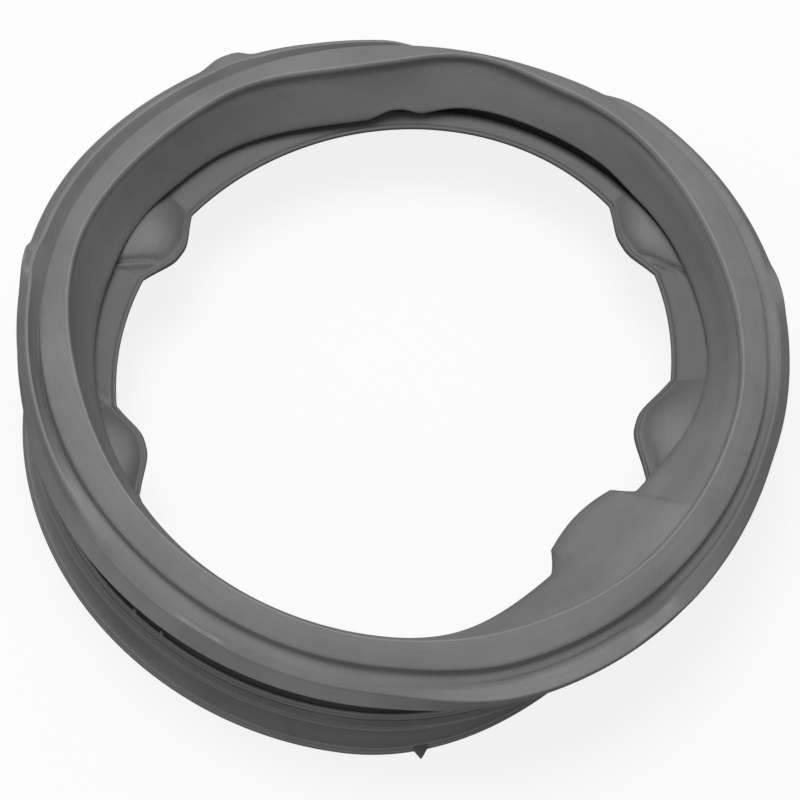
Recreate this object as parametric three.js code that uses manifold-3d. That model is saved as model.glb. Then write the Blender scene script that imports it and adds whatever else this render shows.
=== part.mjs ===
// Washing machine door seal: one rubber moulding that joins the cabinet's round door opening to the tub's neck.
// The rear skirt slips over the tub's neck and stands on z = 0, and the front ring grips the edge of the
// cabinet panel. Between them lie the bellows, a hanging lip that the door's glass presses on, and a thick
// inner collar. Four spray hoods swell out of the collar, and one wide pad swells out of the lip.
// The seal lies at rest on a table, so its front ring has sagged a little out of round.

import * as THREE from "three";
import { mergeVertices } from "three/addons/utils/BufferGeometryUtils.js";
import Module from "manifold-3d";

// Rear skirt, which grips the tub's neck. Sizes are in millimetres, and angles in degrees.
const neckRadius = 181.4; // radius of the tub's neck, and so of the skirt's bore
const skirtWall = 4.6; // rubber between the bore and the floor of the clamp channel
const rimReach = 8.4; // how far the rear rim stands out of the channel floor
const rimHeight = 4.6;
const rimFlat = 2.6; // flat part of the rim's upper face
const rimFoot = 4.6; // width of the rim's flat underside, inside which the bore flares
const channelWidth = 16.4; // width of the band clamp that lies in the channel
const ledgeReach = 5; // the ledge that keeps the clamp from slipping forwards
const ledgeThickness = 2.6;
const reliefWidth = 7.2; // slack groove between the ledge and the backing flange
const reliefFill = 3.6; // how much shallower the slack groove is away from the tub mark
const reliefHalfAngle = 19.6; // the slack groove is at its deepest this far each side of the tub mark

// Bellows and the lips that lie behind the cabinet panel.
const flangeReach = 6.2; // backing flange, measured out of the channel floor
const flangeThickness = 3;
const sealLipReach = 2.6; // thin sealing lip in front of the backing flange
const sealLipThickness = 2;
const bellowsWall = 3;
const waistRadius = 179; // outer radius of the bellows at the bottom of the panel groove
const grooveWidth = 23; // from the thin sealing lip to the lower edge of the front ring's skirt

// Front ring, with the slot that takes the edge of the panel and the valley that takes the wire clamp.
const ringReach = 15.8; // from the waist to the front ring's outer face
const ringFaceHeight = 8;
const slotWidth = 8.4; // radial width of the slot for the panel's edge
const ringShell = 3.4; // rubber outside the slot
const shoulderRun = 3.6; // the sloping shoulder between the outer face and the valley
const shoulderRise = 9.4;
const valleyWidth = 6.6;
const valleyRise = 0.2; // the valley's inner edge is this much above its outer edge
const bandStep = 7.8; // height of the step from the valley to the sealing band
const bandWidth = 11.6; // sealing band that faces the door
const bandRise = 5.6;
const bandEdgeRound = 1.6;

// Hanging lip for the door's glass.
const lipThickness = 2.8;
const lipDrop = 32; // from the band's inner edge to the lip's free edge
const lipRun = 12.8; // how far the free edge stands in from the band's inner edge

// Collar at the rear, in front of the drum. It isn't round: it opens out towards the sump at the bottom.
const collarRadius = 148.8;
const collarOval = { size: 6.8, angle: 62 };
const sump = { angle: 272, reach: 74, flat: 26, size: 10 };
const collarHeight = 50; // height of the collar's lower inner edge
const collarBead = 4.4; // thickness of the bead along the collar's inner edge
const collarWall = 3.6;
const collarDip = 7; // how far the collar's floor lies under its bead

// Spray hoods on the collar: angle, how far each reaches in past the collar, and half its width.
const hoods = [
  { angle: 31.5, reach: 8.8, halfWidth: 9.2, lift: 5 },
  { angle: 148.7, reach: 10.6, halfWidth: 9.4, lift: 6 },
  { angle: 199.7, reach: 11.2, halfWidth: 10.4, lift: 4 },
  { angle: 344.7, reach: 13.8, halfWidth: 11.9, lift: 6 },
];
const hoodRelief = 4; // how far the lip's free edge is cut back over the two upper hoods
const upperHoods = 2;

// The wide pad and the slack around it, on the lip.
const padAngle = 315.2;
const padHalfWidth = 12.6;
const padReach = 14;
const padEdge = 2.4; // angle over which the pad's side walls rise
const slack = { angle: 320, reach: 43, size: 20.5 };

// Drain notch in the lip's free edge, opposite the tub mark, and the sag of the lip around it.
const notchAngle = 90.6;
const notchHalfWidth = 5;
const notchDepth = 3;
const lipSag = { angle: 99, reach: 30, size: 7.5 };
const lipLean = { size: 3.6, angle: 32 };
const lipOpening = { angle: 262, reach: 36, size: 4 };

// Where the band's inner edge lies further in, or out, than its round.
const crestPulls = [
  { angle: 21, reach: 38, size: 4.9 },
  { angle: 75, reach: 16, size: -2.2 },
  { angle: 102, reach: 22, size: 5.6 },
  { angle: 138, reach: 28, size: 3.4 },
  { angle: 190, reach: 34, size: 3.6 },
  { angle: 288, reach: 25, size: 2 },
];

// Lugs on the front ring's shoulder: the outer face runs up to the valley's height, between sloping ends.
const lugAngles = [10, 61.1, 117.4, 165.5, 238.7, 308.5];
const lugHalfWidth = 5.6;
const lugFlat = 1.6; // half of the lug's top
const lugRise = 8.4;
const lugGroove = 1.3; // dip between the lug and the valley

// Tub mark: the arrow that lines up with the mark on the tub.
const markAngle = 275.4;
const markLength = 5;
const markWidth = 8;
const markThickness = 3.6;

// Pegs beside the clamp's spring, on the thin sealing lip.
const pegAngles = [226.2, 231.9];
const pegRadius = 1.2;
const pegHeight = 4;

// How the limp seal lies: shifts and out-of-round of the rear rim, of the front ring and of its outer flap.
const rearShift = [-7, -1.5];
const frontShift = [3.6, 1.2];
const frontOval = { size: 3.2, angle: -43 };
const rearLobed = { size: 2, angle: 43 };
const frontLobed = { size: 2.6, angle: 38 };
const flapPulls = [
  { angle: 25, reach: 45, flat: 20, size: 9, band: 0.3 },
  { angle: 315, reach: 48, flat: 28, size: 5.4, band: 0.6 },
  { angle: 133, reach: 62, flat: 10, size: 12, band: 0.1 },
];
// The outer flap splays into a flatter brim on the tub mark's side: out and up by these shares of its size.
const flapBrim = { angle: 262, reach: 78, flat: 35, size: 6 };
const brimOut = 0.5;
const brimUp = 0.87;
const skirtDent = { angle: 314, reach: 50, size: 19 };
const skirtSlack = { angle: 75, reach: 72, size: 6 };
const flapTuck = { angle: 71, reach: 22, flat: 8, drop: 8, inward: 4.5 };

// Fineness of the mesh.
const angleStep = 7.5;
const featureSteps = 3.8;

const RAD = Math.PI / 180;

// Heights and radii that follow from the sizes above.
const channelFloor = neckRadius + skirtWall;
const rimRadius = channelFloor + rimReach;
const ledgeZ = rimHeight + channelWidth;
const reliefZ = ledgeZ + ledgeThickness;
const flangeZ = reliefZ + reliefWidth;
const sealLipZ = flangeZ + flangeThickness + 2;
const grooveZ = sealLipZ + sealLipThickness;
const ringZ = grooveZ + grooveWidth;
const ringRadius = waistRadius + ringReach;
const slotOuter = ringRadius - ringShell;
const slotInner = slotOuter - slotWidth;
const shoulderZ = ringZ + ringFaceHeight;
const valleyZ = shoulderZ + shoulderRise;
const bandRadius = ringRadius - shoulderRun - valleyWidth;
const bandZ = valleyZ + valleyRise + bandStep;
const crestRadius = bandRadius - bandWidth;
const crestZ = bandZ + bandRise;
const innerWaist = waistRadius - bellowsWall;

// Signed angle from b to a, from -180 to 180.
function turnBetween(a, b) {
  return ((((a - b + 180) % 360) + 360) % 360) - 180;
}

// 1 at the centre, falling smoothly to 0 at reach; it stays at 1 as far out as flat.
function swell(angle, centre, reach, flat = 0) {
  const away = Math.abs(turnBetween(angle, centre));
  const t = Math.min(1, Math.max(0, (reach - away) / (reach - flat)));
  return t * t * (3 - 2 * t);
}

// The same, for a swelling given by its angle, reach and size.
function swelling(angle, { angle: centre, reach, size, flat = 0 }) {
  return size * swell(angle, centre, reach, flat);
}

// 1 as far out as flat, then falling in a straight line to 0 at reach.
function ramp(angle, centre, reach, flat) {
  return Math.min(1, Math.max(0, (reach - Math.abs(turnBetween(angle, centre))) / (reach - flat)));
}

// How far the band's inner edge lies inside its round.
function crestPull(angle) {
  let pull = 0;
  for (const place of crestPulls) pull += swelling(angle, place);
  return pull;
}

// Out-of-round with so many lobes.
function wave(angle, lobes, { size, angle: peak }) {
  return size * Math.cos(lobes * (angle - peak) * RAD);
}

// How far the hoods reach in and stand up at this angle.
function hoodAt(angle) {
  let reach = 0;
  let lift = 0;
  for (const hood of hoods) {
    const across = Math.min(1, Math.abs(turnBetween(angle, hood.angle)) / hood.halfWidth);
    const arch = (1 - across * across) ** 0.8;
    const share = 0.5 * arch + 0.5 * swell(angle, hood.angle, hood.halfWidth, hood.halfWidth * 0.12);
    reach += hood.reach * share;
    lift += hood.lift * share;
  }
  return { reach, lift };
}

// Rear skirt from its bore round the rim, the clamp channel and the ledge, as [radius, height] points.
function skirtOutline(angle) {
  const away = Math.abs(turnBetween(angle, markAngle));
  const fill = away > reliefHalfAngle ? reliefFill : 0;
  const ledge = channelFloor + ledgeReach;
  return [
    [rimRadius - rimFoot, 0],
    [rimRadius - 1, 0],
    [rimRadius, 1],
    [rimRadius - 0.2, rimHeight - 1],
    [rimRadius - rimFlat, rimHeight],
    [channelFloor + 1.6, rimHeight + 2.4],
    [channelFloor, rimHeight + channelWidth * 0.45],
    [channelFloor + 0.8, ledgeZ - 3.4],
    [ledge - 0.8, ledgeZ],
    [ledge, ledgeZ + ledgeThickness * 0.6],
    [ledge - 0.8, reliefZ],
    [channelFloor - 0.8 + fill, reliefZ + 0.6],
    [channelFloor - 0.8 + fill, flangeZ - 1],
  ];
}

// Backing flange, thin sealing lip and the waist of the bellows.
function grooveOutline() {
  const flange = channelFloor + flangeReach;
  const lip = channelFloor + sealLipReach;
  return [
    [flange - 1.2, flangeZ],
    [flange, flangeZ + 1.1],
    [flange - 3.4, flangeZ + flangeThickness],
    [lip - 2.4, sealLipZ - 0.6],
    [lip, sealLipZ + sealLipThickness * 0.4],
    [lip - 2, grooveZ],
    [waistRadius + 1.4, grooveZ + 2.6],
    [waistRadius, grooveZ + grooveWidth * 0.35],
    [waistRadius + 2.4, grooveZ + grooveWidth * 0.75],
  ];
}

// Front ring from its slot over the shoulder, valley, step and sealing band to the band's inner edge.
function ringOutline(angle) {
  let lug = 0;
  for (const centre of lugAngles) lug = Math.max(lug, ramp(angle, centre, lugHalfWidth, lugFlat));
  const tuck = swell(angle, flapTuck.angle, flapTuck.reach, flapTuck.flat);
  let out = -flapTuck.inward * tuck;
  let wide = 0;
  for (const pull of flapPulls) {
    out += swelling(angle, pull);
    wide += swelling(angle, pull) * pull.band;
  }
  const down = flapTuck.drop * tuck;
  const brim = swelling(angle, flapBrim);
  const far = out + brimOut * brim;
  const drop = down - brimUp * brim;
  const brow = ringRadius - shoulderRun;
  const pull = crestPull(angle);
  const slotTop = shoulderZ + 3.4;
  return [
    [slotInner, ringZ + 3],
    [slotInner + 0.6 + wide * 0.6, slotTop - 2.4 - down * 0.2],
    [slotInner + 2.8 + wide, slotTop - down * 0.4],
    [slotOuter - 2.4 + out * 0.6, slotTop - down * 0.8],
    [slotOuter + out * 0.9 + brim * 0.4, slotTop - 2.4 - down + brim * 0.3],
    [slotOuter + 1.4 + out * 0.6 + brimOut * brim, ringZ + 1 - drop],
    [slotOuter + 2.6 + out * 0.6 + brimOut * brim, ringZ - drop],
    [ringRadius + 1 + out * 0.6 + brimOut * brim, ringZ + 0.8 - drop],
    [ringRadius + far - 0.3 * lug, shoulderZ - 0.4 - drop + (lugRise - brim * 0.8) * lug],
    [ringRadius - 0.5 + far - 0.6 * lug, shoulderZ + 0.7 - drop + (lugRise - brim * 0.8) * lug],
    [brow + 0.3 + out * 0.6, valleyZ - 0.5 - down - lugGroove * lug],
    [brow - 1 + out * 0.55, valleyZ - down],
    [bandRadius - 0.3 + wide, valleyZ + valleyRise - down * 0.3],
    [bandRadius + 0.3 + wide, bandZ - 1.2],
    [bandRadius - 0.9 + wide, bandZ],
    [bandRadius - bandWidth * 0.5 + wide * 0.8 - pull * 0.5, bandZ + bandRise * 0.54],
    [crestRadius + 0.4 + wide * 0.6 - pull, crestZ],
    [crestRadius - 0.8 + wide * 0.6 - pull, crestZ - bandEdgeRound],
  ];
}

// Hanging lip, down its inner face, round its free edge and up its back.
function lipOutline(angle) {
  const pad = swell(angle, padAngle, padHalfWidth, padHalfWidth - padEdge);
  const crown = 1 - 0.45 * (turnBetween(angle, padAngle) / padHalfWidth) ** 2;
  const inward =
    swelling(angle, slack) +
    swelling(angle, lipSag) -
    swelling(angle, lipOpening) -
    lipLean.size * Math.cos((angle - lipLean.angle) * RAD);
  let cut = notchDepth * swell(angle, notchAngle, notchHalfWidth, notchHalfWidth * 0.5);
  for (const hood of hoods.slice(0, upperHoods)) {
    cut = Math.max(cut, hoodRelief * swell(angle, hood.angle, hood.halfWidth + 3, hood.halfWidth - 3));
  }
  const pull = crestPull(angle);
  const topR = crestRadius - 0.8;
  const topZ = crestZ - bandEdgeRound;
  const share = 1 - cut / lipDrop;
  const along = (t, back) => {
    const pushed = inward * t ** 1.3 + pad * crown * padReach * t ** 0.7;
    const hollow = lipRun * t ** 1.4 + pull * (1 - t);
    return [topR - hollow - pushed + back, topZ - lipDrop * t];
  };
  const edge = along(share, 0);
  return [
    along(0.25 * share, 0),
    along(0.5 * share, 0),
    along(0.75 * share, 0),
    along(0.95 * share, 0),
    [edge[0] + 0.6, edge[1]],
    [edge[0] + lipThickness * 0.8, edge[1]],
    along(0.84 * share, lipThickness * 1.1),
    along(0.52 * share, lipThickness * 1.25),
    along(0.22 * share, lipThickness * 1.5),
  ];
}

// Cavity behind the lip, down the inner side of the bellows.
function cavityOutline() {
  return [
    [slotInner - 6, shoulderZ + 7],
    [slotInner - bellowsWall - 0.6, shoulderZ + 1],
    [slotInner - bellowsWall, ringZ + 3],
    [innerWaist + 2, grooveZ + grooveWidth * 0.7],
    [innerWaist, grooveZ + grooveWidth * 0.35],
    [innerWaist - 1.4, grooveZ + 5],
  ];
}

// Collar: its floor and bead, its hoods, and its underside back to the skirt's bore.
function collarOutline(angle) {
  const { reach, lift } = hoodAt(angle);
  const round = collarRadius + wave(angle, 2, collarOval) + swelling(angle, sump);
  const inner = round - reach;
  const floorZ = collarHeight + collarBead - collarDip - 4;
  const deep = innerWaist - 4;
  const span = deep - round;
  return [
    [deep, floorZ - 0.8],
    [round + span * 0.66 - reach * 0.12, floorZ + 0.6 + lift * 0.5],
    [round + span * 0.36 - reach * 0.5, floorZ + collarDip * 0.55 + lift],
    [inner + 3.6, collarHeight + collarBead - 1 + lift * 0.4],
    [inner + 1.6, collarHeight + collarBead],
    [inner, collarHeight + collarBead - 1.8],
    [inner + 0.2, collarHeight + 0.6],
    [inner + 1.8, collarHeight - 0.4],
    [round + span * 0.34 - reach * 0.5, floorZ + collarDip * 0.55 - collarWall + lift * 0.8],
    [deep - 1, floorZ - collarWall - 1],
    [neckRadius - 3, flangeZ + 3],
    [neckRadius, reliefZ],
    [neckRadius, rimHeight + channelWidth * 0.4],
    [neckRadius + 2, rimHeight + 1.2],
  ];
}

function sectionAt(angle) {
  return [
    ...skirtOutline(angle),
    ...grooveOutline(),
    ...ringOutline(angle),
    ...lipOutline(angle),
    ...cavityOutline(),
    ...collarOutline(angle),
  ];
}

// Where a point of the round seal comes to lie, with the sag of the limp rubber.
function laid(angle, radius, height) {
  const front = Math.min(1, Math.max(0, height / crestZ));
  const rear = 1 - front;
  const low = Math.min(1, Math.max(0, 1 - height / grooveZ));
  const out =
    radius +
    front * wave(angle, 2, frontOval) +
    front * front * wave(angle, 3, frontLobed) +
    rear * rear * wave(angle, 3, rearLobed) -
    low * (swelling(angle, skirtDent) - swelling(angle, skirtSlack));
  return new THREE.Vector3(
    out * Math.cos(angle * RAD) + rear * rearShift[0] + front * frontShift[0],
    out * Math.sin(angle * RAD) + rear * rearShift[1] + front * frontShift[1],
    height,
  );
}

// Angles of the sections: an even step, and closer ones where a feature needs them.
function sectionAngles() {
  const wanted = [];
  const add = (centre, half, count) => {
    for (let k = -count; k <= count; k++) wanted.push(centre + (half * k) / count);
  };
  for (const centre of lugAngles) {
    for (const away of [lugFlat, lugHalfWidth]) wanted.push(centre - away, centre + away);
  }
  for (const hood of hoods) add(hood.angle, hood.halfWidth, Math.round(hood.halfWidth / featureSteps));
  add(padAngle - padHalfWidth + padEdge / 2, padEdge / 2, 1);
  add(padAngle + padHalfWidth - padEdge / 2, padEdge / 2, 1);
  add(padAngle, padHalfWidth * 0.5, 1);
  add(notchAngle, notchHalfWidth, 2);
  add(markAngle - reliefHalfAngle, 0.2, 1);
  add(markAngle + reliefHalfAngle, 0.2, 1);
  const kept = wanted.map((a) => ((a % 360) + 360) % 360);
  for (let a = 0; a < 360; a += angleStep) {
    if (kept.every((k) => Math.abs(turnBetween(a, k)) > angleStep * 0.4)) kept.push(a);
  }
  kept.sort((a, b) => a - b);
  return kept.filter((a, i) => i === 0 || a - kept[i - 1] > 0.15);
}

// Closed skin through the sections: one ring of points for each angle, joined to the next ring.
function ringSkin() {
  const angles = sectionAngles();
  const points = [];
  const faces = [];
  const count = sectionAt(0).length;
  for (const angle of angles) {
    for (const [radius, height] of sectionAt(angle)) points.push(...laid(angle, radius, height).toArray());
  }
  for (let i = 0; i < angles.length; i++) {
    const here = i * count;
    const next = ((i + 1) % angles.length) * count;
    for (let j = 0; j < count; j++) {
      const k = (j + 1) % count;
      faces.push(here + j, next + j, next + k, here + j, next + k, here + k);
    }
  }
  const geometry = new THREE.BufferGeometry();
  geometry.setAttribute("position", new THREE.Float32BufferAttribute(points, 3));
  geometry.setIndex(faces);
  return geometry;
}

// The arrow that lines up with the tub's mark, with its root inside the rear rim.
function tubMark() {
  const root = 3;
  const shape = new THREE.Shape();
  shape.moveTo(-root, -markWidth / 2);
  shape.lineTo(0, -markWidth / 2);
  shape.lineTo(markLength - 0.8, -1);
  shape.quadraticCurveTo(markLength, 0, markLength - 0.8, 1);
  shape.lineTo(0, markWidth / 2);
  shape.lineTo(-root, markWidth / 2);
  shape.closePath();
  const tab = new THREE.ExtrudeGeometry(shape, {
    depth: markThickness,
    bevelEnabled: false,
    curveSegments: 4,
  });
  const place = laid(markAngle, rimRadius - 0.6, 0);
  tab.rotateZ(markAngle * RAD);
  tab.translate(place.x, place.y, 0.4);
  return tab;
}

// One peg, standing on the thin sealing lip.
function peg(angle) {
  const sunk = 1.6;
  const pin = new THREE.CylinderGeometry(pegRadius * 0.8, pegRadius, pegHeight + sunk, 10);
  pin.rotateX(Math.PI / 2);
  const place = laid(angle, channelFloor + sealLipReach - 2.4, grooveZ);
  pin.translate(place.x, place.y, grooveZ + (pegHeight - sunk) / 2);
  return pin;
}

const wasm = await Module();
wasm.setup();

function toSolid(geometry) {
  const bare = geometry.clone();
  bare.deleteAttribute("normal");
  bare.deleteAttribute("uv");
  const merged = mergeVertices(bare, 1e-4);
  return new wasm.Manifold(
    new wasm.Mesh({
      numProp: 3,
      vertProperties: new Float32Array(merged.attributes.position.array),
      triVerts: new Uint32Array(merged.index.array),
    }),
  );
}

function toGeometry(solid) {
  const mesh = solid.getMesh();
  const geometry = new THREE.BufferGeometry();
  geometry.setAttribute("position", new THREE.BufferAttribute(mesh.vertProperties, 3));
  geometry.setIndex(new THREE.BufferAttribute(mesh.triVerts, 1));
  geometry.computeVertexNormals();
  return geometry;
}

function doorSeal() {
  let solid = toSolid(ringSkin()).add(toSolid(tubMark()));
  for (const angle of pegAngles) solid = solid.add(toSolid(peg(angle)));
  const geometry = toGeometry(solid);
  geometry.computeBoundingBox();
  const centre = geometry.boundingBox.getCenter(new THREE.Vector3());
  geometry.translate(-centre.x, -centre.y, 0);
  const rubber = new THREE.MeshStandardMaterial({ color: 0x6d6d6e, roughness: 0.62, metalness: 0 });
  const mesh = new THREE.Mesh(geometry, rubber);
  mesh.name = "door_seal";
  return mesh;
}

const seal = new THREE.Group();
seal.add(doorSeal());

export default seal;
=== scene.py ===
import math

import bpy
import numpy as np
from mathutils import Matrix, Vector


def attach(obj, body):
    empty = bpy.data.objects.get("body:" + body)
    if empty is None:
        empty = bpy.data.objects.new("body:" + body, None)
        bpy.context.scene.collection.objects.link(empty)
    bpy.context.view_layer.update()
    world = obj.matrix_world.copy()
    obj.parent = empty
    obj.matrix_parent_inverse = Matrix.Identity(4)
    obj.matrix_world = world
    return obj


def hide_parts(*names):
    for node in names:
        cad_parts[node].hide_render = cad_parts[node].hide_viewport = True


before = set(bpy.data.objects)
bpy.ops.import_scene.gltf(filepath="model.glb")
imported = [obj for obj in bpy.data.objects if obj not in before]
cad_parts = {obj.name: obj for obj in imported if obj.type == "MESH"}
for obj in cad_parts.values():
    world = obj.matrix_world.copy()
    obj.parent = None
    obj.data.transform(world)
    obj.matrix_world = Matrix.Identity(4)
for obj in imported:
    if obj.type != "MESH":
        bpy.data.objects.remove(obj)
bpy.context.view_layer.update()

# Camera: the photograph looks down at the seal from the side of its tub mark, from
# well over a metre away, so the rings' perspective is mild. The picture's centre lies
# a little below the seal's middle and to the right of it.
lens_mm, sensor_mm, picture_px = 119.7, 36.0, 800.0
camera_distance = 1.4
camera_fall = math.radians(60.2)
seal_middle = Vector((-0.0006, 0.001, 0.045))
aim_below_px, aim_right_px = 26.7, 5.7
camera_data = bpy.data.cameras.new("camera")
camera_data.sensor_width = sensor_mm
camera_data.lens = lens_mm
camera_data.clip_start = 0.05
camera_data.clip_end = 20.0
camera = bpy.data.objects.new("camera", camera_data)
bpy.context.scene.collection.objects.link(camera)
bpy.context.scene.camera = camera
camera_side = Vector((0, -math.cos(camera_fall), math.sin(camera_fall)))
camera_place = seal_middle + camera_distance * camera_side
focal_px = lens_mm / sensor_mm * picture_px
aim_fall = camera_fall + math.atan(aim_below_px / focal_px)
aim_turn = math.atan(aim_right_px / focal_px)
camera.matrix_world = (
    Matrix.Translation(camera_place)
    @ Matrix.Rotation(-aim_turn, 4, "Z")
    @ Matrix.Rotation(math.pi / 2 - aim_fall, 4, "X")
)


# Door seal: one moulding of grey EPDM rubber, pressed in one mould. A closed section
# runs round the door's axis: skirt, clamp channel, bellows, panel slot, front ring,
# hanging lip, and the collar with its spray hoods. It lies limp on its rear rim.
def turn_between(a, b):
    """Signed angle from b to a, from -180 to 180 degrees."""
    return (a - b + 180.0) % 360.0 - 180.0


def swell(angle, centre, reach, flat=0.0):
    """1 at the centre out to flat, then an S-curve t*t*(3-2t) down to 0 at reach."""
    t = np.clip((reach - np.abs(turn_between(angle, centre))) / (reach - flat), 0.0, 1.0)
    return t * t * (3.0 - 2.0 * t)


def ramp(angle, centre, reach, flat):
    """1 as far out as flat, then falling in a straight line to 0 at reach."""
    return np.clip((reach - np.abs(turn_between(angle, centre))) / (reach - flat), 0.0, 1.0)


def wave(angle, lobes, size, peak):
    """Out-of-round: size times the cosine of so many lobes, with a lobe at peak."""
    return size * np.cos(lobes * np.radians(angle - peak))


# Sizes are in millimetres and angles in degrees, counted from the right towards the far side.
MM = 0.001

# The section's own radii and heights, from the rear rim up to the band's crest, and its collar.
NECK, FLOOR, RIM = 181.4, 186.0, 194.4
LEDGE_Z, RELIEF_Z, FLANGE_Z, SEAL_LIP_Z, GROOVE_Z = 21.0, 23.6, 30.8, 35.8, 37.8
WAIST, INNER_WAIST = 179.0, 176.0
RING_Z, SHOULDER_Z, VALLEY_Z, BAND_Z, CREST_Z = 60.8, 68.8, 78.2, 86.2, 91.8
RING, SLOT_OUTER, SLOT_INNER, BAND, CREST = 194.8, 191.4, 183.0, 184.6, 173.0
COLLAR, COLLAR_Z, BEAD_Z = 148.8, 43.4, 52.7
LIP_DROP, LIP_RUN = 32.0, 12.8
SOFT = 60.0  # a corner this round runs into its neighbours as one curve
SHARP = 1.5  # a corner less round than this is a moulded edge

# Where single features stand.
MARK, MARK_GROOVE_HALF = 275.4, 19.6
SEAM = 200.5
NOTCH, NOTCH_DEPTH = 90.2, 3.4
PAD, PAD_HALF, PAD_REACH = 315.2, 12.6, 14.0
PEGS = (226.2, 231.9)

# Lugs: angle, share of the full rise, half the width, and how far the valley dips beside it.
LUG_RISE, LUG_TOP = 8.4, 1.0
LUGS = (
    (10.0, 0.45, 5.8, 0.45),
    (61.1, 0.8, 5.2, 0.2),
    (117.4, 0.8, 4.6, 0.0),
    (165.5, 1.25, 5.0, 0.0),
    (238.7, 0.5, 5.8, 0.5),
    (308.5, 0.6, 5.8, 0.6),
)
# Hoods: angle, reach past the collar, half the width, and lift.
HOODS = (
    (31.5, 8.8, 9.2, 4.5),
    (148.7, 10.6, 9.4, 5.0),
    (199.7, 11.2, 10.4, 4.0),
    (344.7, 13.8, 11.9, 5.0),
)
UPPER_HOODS = HOODS[:2]
# Folds beside the hoods: angle, slant in degrees per mm, side of the ridge, and size.
FOLDS = (
    (26.8, -0.43, -1.0, 1.0),
    (155.0, 0.2, 1.0, 1.0),
    (189.0, -0.38, -1.0, 0.5),
    (333.0, -0.6, -1.0, 0.6),
)
# Where the band's inner edge lies further in: angle, reach and size.
CREST_PULLS = (
    (21.0, 38.0, 4.9),
    (76.0, 17.0, -5.0),
    (102.0, 22.0, 5.6),
    (138.0, 28.0, 3.4),
    (190.0, 34.0, 3.6),
    (288.0, 25.0, 2.0),
)
# Where the lip's free edge is pushed in: angle, reach and size. It also leans to one side.
LIP_PUSHES = (
    (320.0, 43.0, 20.5),
    (99.0, 30.0, 7.5),
    (258.0, 42.0, 1.3),
    (296.0, 26.0, 4.6),
)
LIP_LEAN, LIP_LEAN_SIDE = 3.6, 32.0
# Where the outer flap is pulled out: angle, reach, flat, size and the band's share of it.
FLAP_PULLS = (
    (25.0, 45.0, 20.0, 9.0, 0.3),
    (315.0, 48.0, 28.0, 5.4, 0.6),
    (133.0, 62.0, 10.0, 12.0, 0.1),
)
# Longer changes of the section round the seal: angle, reach and flat of a swell.
FLAP_TUCK = (71.0, 22.0, 8.0)
FLAP_BRIM = (262.0, 78.0, 35.0)
FLAP_LEAN = (236.0, 58.0, 25.0)
FLANGE_BULGE = (243.0, 50.0, 20.0)
VALLEY_SUNK = (135.0, 88.0, 45.0)
VALLEY_NEAR = (275.0, 100.0, 55.0)
CREST_UNDERCUT = (86.0, 56.0, 20.0)
UNDERCUT_KINK = (57.0, 20.0, 12.0)
LIP_SHORT = (62.0, 26.0, 14.0)
COLLAR_SUMP = (272.0, 74.0, 26.0)
COLLAR_HOLLOW = (68.0, 50.0, 15.0)


def crest_pull(angle):
    """How far the band's inner edge lies inside its round: a sum of swellings."""
    return sum(size * swell(angle, centre, reach) for centre, reach, size in CREST_PULLS)


def skirt_outline(angle):
    """Bore, flat rim, clamp channel, ledge and slack groove: (radius, height, roundness) corners.
    The groove is deepest near the tub mark, and a thin mould seam stands 0.3 mm proud at one angle."""
    fill = np.where(np.abs(turn_between(angle, MARK)) > MARK_GROOVE_HALF, 3.6, 0.0)
    seam = 0.3 * ramp(angle, SEAM, 0.28, 0.05)
    ledge = FLOOR + 5.0
    groove = FLOOR - 0.8 + fill
    return [
        (RIM - 4.6, 0.0, 0.5),
        (RIM - 1.0, 0.0, 0.5),
        (RIM, 0.9, 0.6),
        (RIM - 0.5, 2.6, 0.8),
        (RIM - 2.0, 4.1, 0.9),
        (RIM - 3.8, 4.7, 0.9),
        (FLOOR + 1.6 + seam, 7.0, SOFT),
        (FLOOR + seam, 12.0, SOFT),
        (FLOOR + 0.8 + seam, 17.6, SOFT),
        (ledge - 0.8, LEDGE_Z, 0.6),
        (ledge, LEDGE_Z + 1.6, 0.5),
        (ledge - 0.8, RELIEF_Z, 0.4),
        (groove, RELIEF_Z + 0.6, 0.6),
        (groove, FLANGE_Z - 1.0, 0.8),
    ]


def groove_outline(angle):
    """Backing flange with a fine rib, thin sealing lip with a raised edge, and the outer side of
    the bellows. The flange and the lip stand out further at the lower left."""
    bulge = 2.4 * swell(angle, *FLANGE_BULGE)
    flange, lip = FLOOR + 6.2 + 0.6 * bulge, FLOOR + 2.6 + bulge
    return [
        (flange - 1.2, FLANGE_Z, 0.4),
        (flange, FLANGE_Z + 1.1, 0.5),
        (flange - 3.0, FLANGE_Z + 2.6, 0.5),
        (flange - 3.5, FLANGE_Z + 2.3, 0.2),
        (flange - 3.9, FLANGE_Z + 3.4, 0.25),
        (lip - 2.4, SEAL_LIP_Z - 0.6, 0.3),
        (lip + 0.3, GROOVE_Z + 3.0, 0.5),
        (lip - 0.9, GROOVE_Z + 3.4, 0.4),
        (lip - 3.0, GROOVE_Z - 0.4, 0.8),
        (WAIST + 2.6, GROOVE_Z + 0.4, SOFT),
        (WAIST, GROOVE_Z + 8.0, SOFT),
        (WAIST + 2.4, GROOVE_Z + 17.2, SOFT),
    ]


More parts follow.
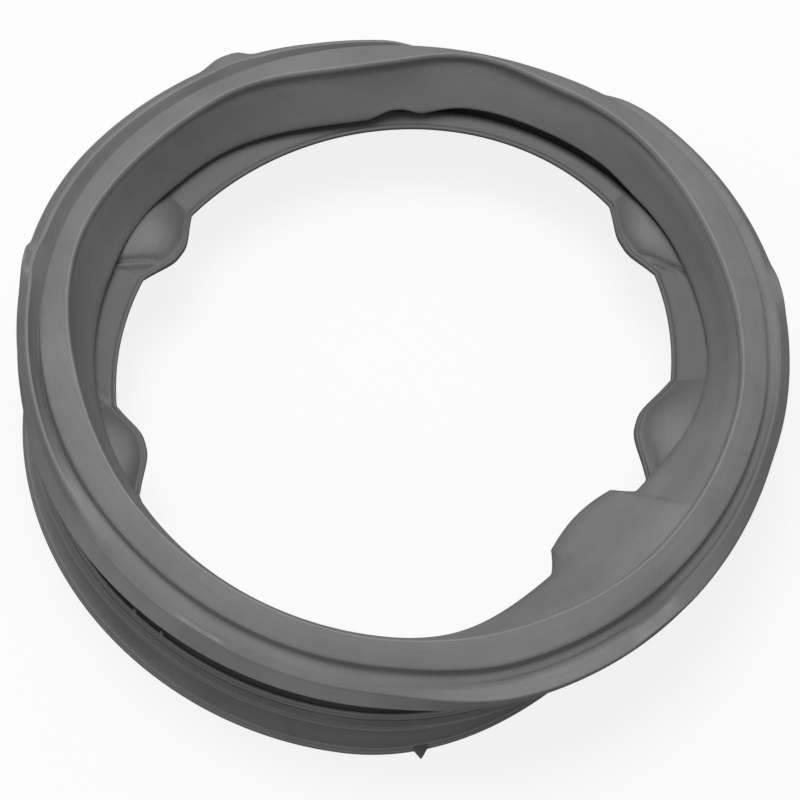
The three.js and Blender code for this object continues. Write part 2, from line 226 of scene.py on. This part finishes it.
def ring_outline(angle):
    """Panel slot, outer flap, shoulder with its lugs, valley, step, sealing band and the undercut
    below its crest. The flap is pulled out, tucked in, splayed into a brim or leant back, and the
    valley is sunk on the left and shallow on the near side."""
    lug, sink = np.zeros_like(angle), np.zeros_like(angle)
    for centre, size, half, depth in LUGS:
        here = swell(angle, centre, half, LUG_TOP)
        lug = np.maximum(lug, size * here)
        sink += depth * here
    out, wide = np.zeros_like(angle), np.zeros_like(angle)
    for centre, reach, flat, size, band_share in FLAP_PULLS:
        pulled = size * swell(angle, centre, reach, flat)
        out += pulled
        wide += band_share * pulled
    tuck = swell(angle, *FLAP_TUCK)
    out -= 4.5 * tuck
    down = 8.0 * tuck
    brim = 6.0 * swell(angle, *FLAP_BRIM)
    splay = out * 0.6 + 0.5 * brim
    drop = down - 0.87 * brim
    under = swell(angle, *CREST_UNDERCUT)
    sunk = swell(angle, *VALLEY_SUNK)
    near = swell(angle, *VALLEY_NEAR)
    rise = (LUG_RISE - 0.8 * brim) * lug
    dip = (6.5 - 0.8 * brim) * sink
    far = RING + out + 0.5 * brim - 3.4 * swell(angle, *FLAP_LEAN)
    brow = RING - 3.6
    band = BAND + wide
    pull = crest_pull(angle)
    crest = CREST + wide * 0.6 - pull
    top = SHOULDER_Z + 3.4
    return [
        (SLOT_INNER, RING_Z + 3.0, SOFT),
        (SLOT_INNER + 0.6 + wide * 0.6, top - 2.4 - down * 0.2, SOFT),
        (SLOT_INNER + 2.8 + wide, top - down * 0.4, SOFT),
        (SLOT_OUTER - 2.4 + out * 0.6, top - down * 0.8, SOFT),
        (SLOT_OUTER + out * 0.9 + 0.4 * brim, top - 2.4 - down + 0.3 * brim, SOFT),
        (SLOT_OUTER + 1.4 + splay, RING_Z + 1.0 - drop, 0.5),
        (SLOT_OUTER + 2.6 + splay, RING_Z - drop, 0.6),
        (RING + 1.0 + splay, RING_Z + 0.8 - drop, 0.5),
        (far - 0.3 * lug, SHOULDER_Z - 0.4 - drop + rise, 0.5),
        (far - 0.5 - 0.6 * lug, SHOULDER_Z + 0.7 - drop + rise, 0.6),
        (brow + 0.3 + out * 0.6 + lug, VALLEY_Z - 0.5 - down - 1.2 * near - dip, 0.6),
        (brow - 1.0 + out * 0.55 + 1.4 * lug, VALLEY_Z - down - 0.8 * near - dip, 0.6),
        (band + 3.0 + out * 0.25, VALLEY_Z - 4.6 * sunk + 0.6 * near - down * 0.7 - 0.9 * dip, SOFT),
        (band - 0.3, VALLEY_Z + 0.2 - 8.4 * sunk + 1.6 * near - down * 0.3 - 0.5 * dip, 0.8),
        (band + 0.3, BAND_Z - 1.2, 0.6),
        (band - 0.9, BAND_Z, 0.8),
        (BAND - 5.8 + wide * 0.8 - pull * 0.5, BAND_Z + 3.02, SOFT),
        (crest + 0.4, CREST_Z, 0.8),
        (crest - 0.8, CREST_Z - 1.6, 0.8),
        (crest - 1.06 + 0.26 * under, CREST_Z - 3.6, 0.6),
        (crest - 1.27 + 3.7 * under, CREST_Z - 4.6 - 1.2 * under, 1.2),
    ]


def lip_outline(angle):
    """Hanging lip down its hollow inner face, round its free edge and up its back,
    with the wide pad, the cuts over the upper hoods and the drain notch. It hangs less deep at the
    upper right."""
    away = turn_between(angle, PAD)
    crown = 1.0 - 0.45 * (away / PAD_HALF) ** 2
    lean = LIP_LEAN * np.cos(np.radians(angle - LIP_LEAN_SIDE))
    inward = sum(size * swell(angle, centre, reach) for centre, reach, size in LIP_PUSHES) - lean
    cut = NOTCH_DEPTH * swell(angle, NOTCH, 6.0, 0.6)
    for centre, _, half, _ in UPPER_HOODS:
        cut = np.maximum(cut, 1.2 * swell(angle, centre, half + 4.0, half - 6.0))
    share = 1.0 - (cut + 3.6 * swell(angle, *LIP_SHORT)) / LIP_DROP
    pull = crest_pull(angle)
    under = (3.0 + 2.6 * swell(angle, *UNDERCUT_KINK)) * swell(angle, *CREST_UNDERCUT)

    def along(t, back, roundness=SOFT):
        """A corner at the share t of the lip's drop, so far behind its inner face."""
        upper_side = (9.3 + 3.1 * t - away) / (0.8 + 1.8 * t)
        lower_side = (9.2 + 4.2 * t + away) / 3.2
        pad = np.clip(np.minimum(upper_side, lower_side), 0.0, 1.0)
        pushed = inward * t**1.3 + pad * crown * PAD_REACH * t**0.7
        hollow = LIP_RUN * t**1.4 + pull * (1.0 - t) - under * np.exp(-((t / 0.35) ** 2))
        return (CREST - 0.8 - hollow - pushed + back, CREST_Z - 1.6 - LIP_DROP * t, roundness)

    edge = along(share, 0.0)
    return [
        along(0.25 * share, 0.0),
        along(0.5 * share, 0.0),
        along(0.75 * share, 0.0),
        along(0.95 * share, 0.0, 0.6),
        (edge[0] + 0.6, edge[1], 0.5),
        (edge[0] + 2.24, edge[1], 0.5),
        along(0.84 * share, 3.08),
        along(0.52 * share, 3.5),
        along(0.22 * share, 4.2),
    ]


def cavity_outline():
    """Hollow behind the lip, down the inner side of the bellows."""
    return [
        (SLOT_INNER - 6.0, SHOULDER_Z + 7.0, SOFT),
        (SLOT_INNER - 3.6, SHOULDER_Z + 1.0, SOFT),
        (SLOT_INNER - 3.0, RING_Z + 3.0, SOFT),
        (INNER_WAIST + 2.0, GROOVE_Z + 16.1, SOFT),
        (INNER_WAIST, GROOVE_Z + 8.0, SOFT),
        (INNER_WAIST - 1.4, GROOVE_Z + 5.0, SOFT),
    ]


def fold_height(angle, radius, s):
    """A fold is a narrow trough with a ridge beside it: two bell curves across a slanting line."""
    height = np.zeros_like(angle)
    for start, slant, side, size in FOLDS:
        u = side * turn_between(angle, start + slant * (radius - 150.0))
        crease = np.exp(-(((u - 1.2) / 0.55) ** 2)) - 1.7 * np.exp(-((u / 0.5) ** 2))
        height += size * crease * np.sin(np.pi * (0.12 + 0.8 * s))
    return height


def collar_outline(angle):
    """Collar floor, its bead and spray hoods, and the underside back to the skirt's bore.
    A hood's reach is half a round arch (1-u*u)**0.8 and half an S-curve, and it domes by its lift
    times 1-0.75*|2*s**1.3-1|**2.2. The floor rises to its hump as 1-(1-t)**2, and then falls a
    little towards the bead. At the upper right the hump lies further in."""
    reach, lift = np.zeros_like(angle), np.zeros_like(angle)
    for centre, size, half, high in HOODS:
        across = np.clip(np.abs(turn_between(angle, centre)) / half, 0.0, 1.0)
        share = 0.5 * (1.0 - across**2) ** 0.8 + 0.5 * swell(angle, centre, half, half * 0.12)
        reach += size * share
        lift += high * share
    collar = COLLAR + wave(angle, 2, 6.8, 62.0) + 10.0 * swell(angle, *COLLAR_SUMP)
    inner = collar - reach
    deep = INNER_WAIST - 4.0
    hump_place = 0.35 + 0.35 * swell(angle, *COLLAR_HOLLOW)
    floor = []
    for s in np.linspace(0.0, 1.0, 17):
        radius = deep + (inner + 3.0 - deep) * s
        hump = 1.0 - (1.0 - np.minimum(s / hump_place, 1.0)) ** 2
        fall = max(s - 0.35, 0.0) / 0.65
        dome = 1.0 - 0.75 * np.abs(2.0 * s**1.3 - 1.0) ** 2.2
        height = COLLAR_Z + 2.0 + 9.7 * hump - 3.0 * fall + lift * dome
        floor.append((radius, height + fold_height(angle, radius, s), 0.0))
    under = collar + (deep - collar) * 0.34 - reach * 0.5
    return floor + [
        (inner + 1.4, BEAD_Z + 0.3 + 0.18 * lift, 0.9),
        (inner, BEAD_Z, 0.9),
        (inner + 0.2, BEAD_Z - 2.1, 0.5),
        (inner + 1.8, BEAD_Z - 3.1, 0.0),
        (under, COLLAR_Z + 0.25 + lift * 0.8, 0.0),
        (deep - 1.0, COLLAR_Z - 4.6, 0.0),
        (NECK - 3.0, FLANGE_Z + 3.0, 0.0),
        (NECK, RELIEF_Z, 0.0),
        (NECK, 11.2, 0.0),
        (NECK + 2.0, 5.8, 0.0),
    ]


def rounded(angle, corners):
    """Each corner becomes the ends and the middle of a quadratic curve that touches both of its sides.
    Returns the points, the section's tangents, and how sharply each point stands out as an edge:
    the sine of the turn where a sharp corner turns outwards, else 0."""
    place = np.stack([np.stack(np.broadcast_arrays(r, z, angle)[:2], -1) for r, z, _ in corners], 1)
    before, after = np.roll(place, 1, 1), np.roll(place, -1, 1)
    to_before, to_after = before - place, after - place
    length_before = np.linalg.norm(to_before, axis=2, keepdims=True)
    length_after = np.linalg.norm(to_after, axis=2, keepdims=True)
    plain = np.zeros(len(angle))
    almost_half = 0.499
    points, tangents, edges = [], [], []
    for i, (_, _, roundness) in enumerate(corners):
        back = to_before[:, i] / length_before[:, i]
        ahead = to_after[:, i] / length_after[:, i]
        if roundness == 0.0:
            points.append(place[:, i])
            tangents.append(ahead - back)
            edges.append(plain)
            continue
        start = place[:, i] + back * np.minimum(roundness, length_before[:, i] * almost_half)
        end = place[:, i] + ahead * np.minimum(roundness, length_after[:, i] * almost_half)
        points += [start, 0.25 * start + 0.5 * place[:, i] + 0.25 * end, end]
        tangents += [-back, ahead - back, ahead]
        turn = np.clip(ahead[:, 0] * back[:, 1] - ahead[:, 1] * back[:, 0], 0.0, 1.0)
        edges += [plain, turn * (roundness < SHARP), plain]
    return np.stack(points, 1), np.stack(tangents, 1), np.stack(edges, 1)


def lay_down(angle, radius, height):
    """Limp rubber at rest: the front and the rear are shifted and pulled out of round, each by a share
    that fades towards the other, and the whole is centred on the origin. Returns points in mm."""
    front = np.clip(height / CREST_Z, 0.0, 1.0)
    rear = 1.0 - front
    low = np.clip(1.0 - height / GROOVE_Z, 0.0, 1.0)
    dent = 19.0 * swell(angle, 314.0, 50.0) - 6.0 * swell(angle, 75.0, 72.0)
    out = (
        radius
        + front * wave(angle, 2, 3.2, -43.0)
        + front**2 * wave(angle, 3, 2.6, 38.0)
        + rear**2 * wave(angle, 3, 2.0, 43.0)
        - low * dent
    )
    x = out * np.cos(np.radians(angle)) - 7.0 * rear + 3.6 * front
    y = out * np.sin(np.radians(angle)) - 1.5 * rear + 1.2 * front
    return np.stack([x - 0.55, y + 0.96, height + 0.0 * x], -1)


def seal_angles():
    """An even step round the seal, and finer ones where lugs, pad, groove, notch, seam, hoods and the
    two strongest folds turn quickly."""
    even = np.arange(0.0, 360.0, 1.125)
    both = np.array([-1.0, 1.0])
    fine = [lug[0] + np.linspace(-lug[2], lug[2], 11) for lug in LUGS]
    fine += [PAD + np.arange(7.8, 12.8, 0.45), PAD - np.arange(6.0, 13.9, 0.55)]
    fine += [MARK + side * MARK_GROOVE_HALF + 0.1 * both for side in both]
    fine += [NOTCH + side * np.array([0.7, 1.5, 2.3, 3.1, 3.9, 4.7, 5.5, 6.1]) for side in both]
    fine += [SEAM + 0.3 * both, SEAM + 0.07 * both]
    fine += [hood[0] + side * (hood[2] + np.array([-0.5, -0.1, 0.3])) for hood in HOODS for side in both]
    fine += [np.arange(20.6, 28.6, 0.4) + 0.05, np.arange(153.5, 159.8, 0.4) + 0.05]
    near = np.concatenate(fine) % 360.0
    gap = np.abs(turn_between(even[:, None], near[None, :])).min(1)
    return np.sort(np.concatenate([even[gap > 0.45], near]))


def seal_mesh(name):
    """Section points at each angle, laid down and joined in a grid that closes both ways round.
    Normals are the cross product of the two surface directions. The attribute edge marks sharp outer
    corners, most of all on the skirt and its flanges, and flow is a point that moves slowly round the
    seal and fast across its section."""
    angle = seal_angles()
    column = angle[:, None]
    corners = (
        skirt_outline(angle)
        + groove_outline(angle)
        + ring_outline(angle)
        + lip_outline(angle)
        + cavity_outline()
        + collar_outline(angle)
    )
    section, tangent, edge = rounded(angle, corners)
    radius, height = section[..., 0], section[..., 1]
    place = lay_down(column, radius, height)
    step = 0.02
    ahead = lay_down(column, radius + step * tangent[..., 0], height + step * tangent[..., 1])
    along_ring = np.roll(place, -1, 0) - np.roll(place, 1, 0)
    normal = np.cross(along_ring, ahead - place)
    normal /= np.linalg.norm(normal, axis=2, keepdims=True)
    # Painted highlight: how strongly the rubber lightens sharp outer edges, strong on the skirt and
    # flanges below the groove and weak higher up.
    low_edge_highlight, high_edge_highlight = 5.0, 0.7
    edge = edge * np.where(height < GROOVE_Z + 6.0, low_edge_highlight, high_edge_highlight)
    girth = np.cumsum(np.linalg.norm(np.diff(section, axis=1, prepend=section[:, :1]), axis=2), 1)
    turn = np.radians(column) + 0.0 * girth
    flow = np.stack([3.0 * np.cos(turn), 3.0 * np.sin(turn), girth * 0.25], -1)
    rings, count = place.shape[:2]
    i, j = np.meshgrid(np.arange(rings), np.arange(count), indexing="ij")
    i2, j2 = (i + 1) % rings, (j + 1) % count
    faces = np.stack([i * count + j, i2 * count + j, i2 * count + j2, i * count + j2], -1).reshape(-1, 4)
    mesh = bpy.data.meshes.new(name)
    mesh.vertices.add(rings * count)
    mesh.vertices.foreach_set("co", (place * MM).ravel())
    mesh.loops.add(faces.size)
    mesh.loops.foreach_set("vertex_index", faces.ravel())
    mesh.polygons.add(len(faces))
    mesh.polygons.foreach_set("loop_start", np.arange(0, faces.size, 4))
    mesh.polygons.foreach_set("use_smooth", np.ones(len(faces), bool))
    mesh.update(calc_edges=True)
    mesh.validate()
    mesh.attributes.new("edge", "FLOAT", "POINT").data.foreach_set("value", edge.ravel())
    mesh.attributes.new("flow", "FLOAT_VECTOR", "POINT").data.foreach_set("vector", flow.ravel())
    mesh.normals_split_custom_set_from_vertices(normal.reshape(-1, 3))
    return mesh


seal = bpy.data.objects.new("door_seal_rubber", seal_mesh("door_seal_rubber"))
bpy.context.scene.collection.objects.link(seal)
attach(seal, "root")
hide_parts("door_seal")


# Grey rubber: satin moulded EPDM. Its colour is mottled a little, faint flow marks run
# round the seal, fine pale specks of talc lie on it, sharp edges are lightened as a painted
# highlight, and the collar, sheltered by the lip, is darkened to 0.54 as painted shade.
rubber = bpy.data.materials.new("grey_rubber")
rubber.use_nodes = True
links = rubber.node_tree.links
shader = rubber.node_tree.nodes["Principled BSDF"]


def node(kind, **values):
    """A node of this kind in the rubber, with its properties and input values set by name."""
    made = rubber.node_tree.nodes.new(kind)
    for key, value in values.items():
        if key in made.inputs:
            made.inputs[key].default_value = value
        else:
            setattr(made, key, value)
    return made


def noise(vector, scale, detail, roughness):
    """Fractal noise over a vector, from about 0 to 1."""
    made = node("ShaderNodeTexNoise", Scale=scale, Detail=detail, Roughness=roughness)
    links.new(vector, made.inputs["Vector"])
    return made.outputs["Fac"]


def remapped(value, from_low, from_high, to_low, to_high, clamp=True):
    """A value carried from one range into another."""
    made = node("ShaderNodeMapRange", clamp=clamp)
    made.inputs["From Min"].default_value = from_low
    made.inputs["From Max"].default_value = from_high
    made.inputs["To Min"].default_value = to_low
    made.inputs["To Max"].default_value = to_high
    links.new(value, made.inputs["Value"])
    return made.outputs["Result"]


def combined(operation, first, second):
    """Two values put together by a math operation."""
    made = node("ShaderNodeMath", operation=operation)
    links.new(first, made.inputs[0])
    links.new(second, made.inputs[1])
    return made.outputs[0]


spot = node("ShaderNodeTexCoord").outputs["Object"]
edge_highlight_mark = node("ShaderNodeAttribute", attribute_name="edge").outputs["Fac"]
flow_mark = node("ShaderNodeAttribute", attribute_name="flow").outputs["Vector"]
cloud = noise(spot, 22.0, 4.0, 0.6)
streak = noise(flow_mark, 2.2, 5.0, 0.65)
fleck = noise(spot, 700.0, 2.0, 0.5)
grain = noise(spot, 2600.0, 2.0, 0.55)

flat_spot = node("ShaderNodeVectorMath", operation="MULTIPLY")
flat_spot.inputs[1].default_value = (1.0, 1.0, 0.0)
links.new(spot, flat_spot.inputs[0])
from_axis = node("ShaderNodeVectorMath", operation="LENGTH")
links.new(flat_spot.outputs["Vector"], from_axis.inputs[0])
spot_parts = node("ShaderNodeSeparateXYZ")
links.new(spot, spot_parts.inputs["Vector"])
# Mask of the parts outside and above the collar, which the painted shade below leaves alone.
outside_collar = remapped(from_axis.outputs["Value"], 0.166, 0.172, 0.0, 1.0)
above_collar = remapped(spot_parts.outputs["Z"], 0.054, 0.0635, 0.0, 1.0)
unshaded_part = combined("MAXIMUM", outside_collar, above_collar)

mottle = remapped(cloud, 0.3, 0.7, 0.9, 1.08)
flow_lines = remapped(streak, 0.3, 0.7, 0.95, 1.05)
# Painted highlight: sharp outer edges are made lighter, by a fifth for each unit of the edge attribute.
painted_edge_highlight = remapped(edge_highlight_mark, 0.0, 1.0, 1.0, 1.2, clamp=False)
talc = remapped(fleck, 0.72, 0.78, 1.0, 1.35)
# Painted shade: the collar under the lip is darkened to 0.54 of the rest's colour.
painted_collar_shade = remapped(unshaded_part, 0.0, 1.0, 0.54, 1.0)
lightness = mottle
for factor in (flow_lines, painted_edge_highlight, talc, painted_collar_shade):
    lightness = combined("MULTIPLY", lightness, factor)
colour = node("ShaderNodeVectorMath", operation="SCALE")
colour.inputs[0].default_value = (0.2, 0.2, 0.203)
links.new(lightness, colour.inputs["Scale"])
links.new(colour.outputs["Vector"], shader.inputs["Base Color"])
links.new(remapped(cloud, 0.3, 0.7, 0.5, 0.64), shader.inputs["Roughness"])
dimple = node("ShaderNodeMath", operation="MULTIPLY_ADD")
dimple.inputs[1].default_value = 2.0
links.new(streak, dimple.inputs[0])
links.new(grain, dimple.inputs[2])
relief = node("ShaderNodeBump", Strength=0.25, Distance=0.0001)
links.new(dimple.outputs[0], relief.inputs["Height"])
links.new(relief.outputs["Normal"], shader.inputs["Normal"])
seal.data.materials.append(rubber)


# Tub mark and spring pegs: moulded on the seal from the same rubber. The arrow stands
# out of the rear rim, and two short pegs stand on the raised edge of the sealing lip.
def skin_mesh(name, rings):
    """Rings of points, (rings, points, 3) in mm, joined in bands, with each end closed by one face."""
    rings = np.asarray(rings)
    count = rings.shape[1]
    i, j = np.meshgrid(np.arange(rings.shape[0] - 1), np.arange(count), indexing="ij")
    j2 = (j + 1) % count
    bands = np.stack([i * count + j, i * count + j2, (i + 1) * count + j2, (i + 1) * count + j], -1)
    cap = list(range((rings.shape[0] - 1) * count, rings.shape[0] * count))
    base = list(range(count - 1, -1, -1))
    mesh = bpy.data.meshes.new(name)
    mesh.from_pydata((rings.reshape(-1, 3) * MM).tolist(), [], bands.reshape(-1, 4).tolist() + [cap, base])
    mesh.validate()
    mesh.shade_smooth()
    mesh.set_sharp_from_angle(angle=math.radians(35))
    mesh.materials.append(rubber)
    return mesh


def tub_mark_rings():
    """A flat arrowhead that points outwards, drawn in a little at its lower and upper edges to round
    them: one half of its outline is mirrored, and each level has a height and a share of its size."""
    half = [(-3, 4.3), (-0.4, 4.1), (0.5, 3.3), (4.1, 0.9), (4.8, 0.4)]
    outline = np.array([(x, -y) for x, y in half] + [(5, 0)] + half[::-1])
    middle = np.array([1.0, 0.0])
    turn = np.radians(MARK)
    turned = np.array([[np.cos(turn), np.sin(turn)], [-np.sin(turn), np.cos(turn)]])
    foot = lay_down(np.array(MARK), np.array(RIM - 0.6), np.array(0.0))[:2]
    rings = []
    for height, drawn in [(0.4, 0.9), (0.6, 0.97), (1.0, 1.0), (3.2, 1.0), (3.7, 0.96), (3.95, 0.86)]:
        flat = ((outline - middle) * drawn + middle) @ turned + foot
        rings.append(np.column_stack([flat, np.full(len(flat), height)]))
    return rings


def peg_rings(angle):
    """A tapered round pin with a small domed head: each level has a height and a radius."""
    foot = lay_down(np.array(angle), np.array(RIM - 4.6), np.array(GROOVE_Z + 2.4))
    turn = np.radians(np.arange(0.0, 360.0, 15.0))
    levels = [(-1.6, 1.25), (0.0, 1.15), (1.6, 1.0), (3.0, 0.95), (3.6, 0.8), (3.95, 0.4)]
    return [
        foot + np.stack([radius * np.cos(turn), radius * np.sin(turn), np.full(len(turn), height)], -1)
        for height, radius in levels
    ]


marks = (
    ("tub_mark_arrow", tub_mark_rings()),
    ("spring_peg_left", peg_rings(PEGS[0])),
    ("spring_peg_right", peg_rings(PEGS[1])),
)
for mark_name, rings in marks:
    mark = bpy.data.objects.new(mark_name, skin_mesh(mark_name, rings))
    bpy.context.scene.collection.objects.link(mark)
    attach(mark, "root")


# Table and light: a white sheet under the seal in an even studio, which the camera sees
# brighter than it shines, with a soft lamp above and a little behind the seal and a
# faint one low on the near left.
def camera_value(tree, seen, shone):
    """One value as the camera sees it, and another for every other ray of light."""
    path = tree.nodes.new("ShaderNodeLightPath")
    choice = tree.nodes.new("ShaderNodeMapRange")
    choice.inputs["To Min"].default_value = shone
    choice.inputs["To Max"].default_value = seen
    tree.links.new(path.outputs["Is Camera Ray"], choice.inputs["Value"])
    return choice.outputs["Result"]


half_sheet = 6
sheet_corners = [(x * half_sheet, y * half_sheet, 0) for x, y in ((-1, -1), (1, -1), (1, 1), (-1, 1))]
sheet_mesh = bpy.data.meshes.new("white_sheet")
sheet_mesh.from_pydata(sheet_corners, [], [(0, 1, 2, 3)])
sheet = bpy.data.objects.new("white_sheet", sheet_mesh)
bpy.context.scene.collection.objects.link(sheet)
paper = bpy.data.materials.new("white_paper")
paper.use_nodes = True
paper_tree = paper.node_tree
paper_shader = paper_tree.nodes["Principled BSDF"]
paper_shader.inputs["Roughness"].default_value = 0.9
paper_tree.links.new(camera_value(paper_tree, seen=0.9, shone=0.3), paper_shader.inputs["Base Color"])
glow = paper_tree.nodes.new("ShaderNodeEmission")
glow.inputs["Strength"].default_value = 1.0
mix = paper_tree.nodes.new("ShaderNodeMixShader")
paper_tree.links.new(camera_value(paper_tree, seen=0.85, shone=0.0), mix.inputs[0])
paper_tree.links.new(paper_shader.outputs[0], mix.inputs[1])
paper_tree.links.new(glow.outputs[0], mix.inputs[2])
paper_tree.links.new(mix.outputs[0], paper_tree.nodes["Material Output"].inputs["Surface"])
sheet.data.materials.append(paper)

world = bpy.data.worlds.new("studio")
bpy.context.scene.world = world
world.use_nodes = True
backdrop = world.node_tree.nodes["Background"]
backdrop.inputs["Color"].default_value = (1.0, 1.0, 1.0, 1.0)
brightness = camera_value(world.node_tree, seen=1.0, shone=0.31)
world.node_tree.links.new(brightness, backdrop.inputs["Strength"])


def studio_lamp(name, place, size, power):
    """A square area lamp at place that points at the middle of the seal."""
    data = bpy.data.lights.new(name, "AREA")
    data.size = size
    data.energy = power
    lamp = bpy.data.objects.new(name, data)
    lamp.location = place
    lamp.rotation_euler = (Vector((0, 0, 0.05)) - Vector(place)).to_track_quat("-Z", "Y").to_euler()
    bpy.context.scene.collection.objects.link(lamp)


studio_lamp("lamp_above", (-0.15, 0.33, 1.75), 1.1, 23.0)
studio_lamp("lamp_front", (-0.5, -1.4, 0.5), 1.0, 1.6)

bpy.context.scene.view_settings.view_transform = "Standard"
